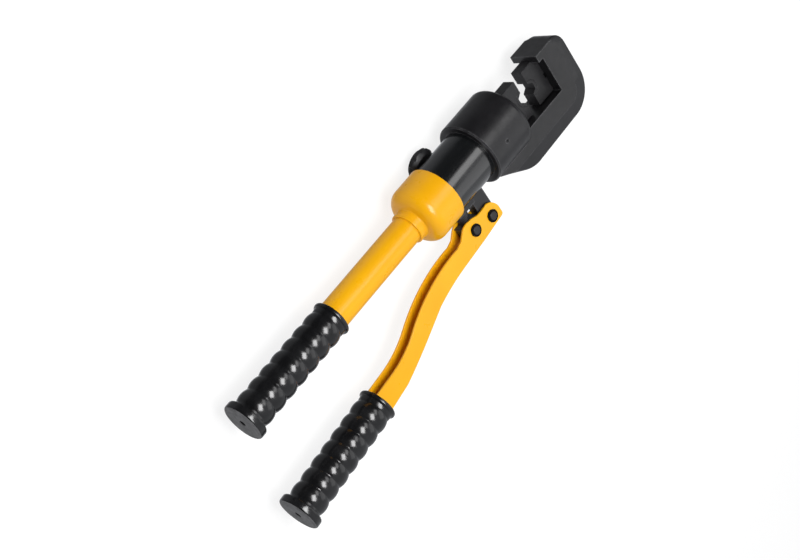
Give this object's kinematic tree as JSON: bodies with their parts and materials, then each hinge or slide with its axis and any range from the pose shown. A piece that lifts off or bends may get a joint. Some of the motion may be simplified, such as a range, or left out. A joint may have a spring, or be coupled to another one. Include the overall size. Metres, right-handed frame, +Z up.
{
  "type": "hydraulic hand crimping tool",
  "caption": "Hydraulic hand crimper with a swivelling C-shaped head, hexagon dies, a tubular reservoir handle and a pump lever, lying on its side.",
  "frame": {"origin": "on the tool's axis where the handle tube enters the neck of the pump housing", "axes": "+X along the tool's axis towards the head, pump lever on the -Y side, +Z up with the tool lying on its side"},
  "size_m": [0.4785, 0.1496, 0.0716],
  "materials": {
    "yellow_enamel": "gloss",
    "black_enamel": "gloss",
    "phosphated_steel": "satin",
    "die_steel": "satin",
    "bright_steel": "satin",
    "black_vinyl": "gloss",
    "black_plastic": "matte",
    "seal_rubber": "matte",
    "brass": "satin"
  },
  "bodies": {
    "frame": {"reservoir_tube": "yellow_enamel", "fixed_grip": "black_vinyl", "tube_end_plug": "bright_steel", "filler_screw": "bright_steel", "oil_bladder": "seal_rubber", "bladder_ring": "bright_steel", "oil_strainer": "brass", "bell_housing": "yellow_enamel", "cylinder_barrel": "black_enamel", "suction_ball": "bright_steel", "suction_spring": "bright_steel", "suction_plug": "bright_steel", "delivery_ball": "bright_steel", "delivery_spring": "bright_steel", "delivery_plug": "bright_steel", "relief_needle": "bright_steel", "relief_spring": "bright_steel", "relief_screw": "bright_steel", "fulcrum_lug": "black_enamel", "fulcrum_pin": "bright_steel", "fulcrum_circlips": "bright_steel", "pump_gland": "brass", "plunger_seal": "seal_rubber", "release_gland": "brass", "spring_rod": "bright_steel"},
    "lever": {"lever_channel": "yellow_enamel", "lever_grip": "black_vinyl", "lever_tube": "bright_steel", "lever_end_plug": "bright_steel", "plunger_pin": "bright_steel", "plunger_circlips": "bright_steel"},
    "plunger": {"pump_plunger": "bright_steel"},
    "head": {"head_frame": "phosphated_steel", "head_set_screw": "bright_steel", "fixed_die_detent": "bright_steel"},
    "fixed_die": {"fixed_die": "die_steel"},
    "ram": {"ram": "bright_steel", "ram_seal": "seal_rubber", "ram_backup_ring": "black_plastic", "die_holder": "phosphated_steel", "moving_die_detent": "bright_steel", "return_spring": "bright_steel"},
    "moving_die": {"moving_die": "die_steel"},
    "release_valve": {"release_stem": "bright_steel", "release_knob": "black_plastic", "knob_screw": "bright_steel"}
  },
  "joints": [
    {"name": "lever_pivot", "type": "hinge", "parent": "frame", "child": "lever", "pos_m": [0.0751, -0.0538, 0], "axis": [0, 0, 1], "range_deg": [-3, 30]},
    {"name": "plunger_slide", "type": "slide", "parent": "frame", "child": "plunger", "axis": [0, 1, 0], "range_m": [-0.0125, 0.0015]},
    {"name": "head_swivel", "type": "hinge", "parent": "frame", "child": "head", "pos_m": [0.1, 0, 0], "axis": [1, 0, 0], "range_deg": [-90, 90]},
    {"name": "ram_slide", "type": "slide", "parent": "head", "child": "ram", "axis": [1, 0, 0], "range_m": [0, 0.0116], "stiffness_N_per_m": 1500, "springref_m": -0.01, "deforming": ["return_spring"]},
    {"name": "fixed_die_slide", "type": "slide", "parent": "head", "child": "fixed_die", "axis": [0, 0, 1], "range_m": [0, 0.034]},
    {"name": "moving_die_slide", "type": "slide", "parent": "ram", "child": "moving_die", "axis": [0, 0, 1], "range_m": [0, 0.034]},
    {"name": "release_turn", "type": "hinge", "parent": "frame", "child": "release_valve", "pos_m": [0.0657, 0, 0], "axis": [0, 0.4226, -0.9063], "range_deg": [0, 120]}
  ],
  "couplings": [
    {"joint": "plunger_slide", "follows": "lever_pivot", "m_per_rad": -0.0227}
  ]
}
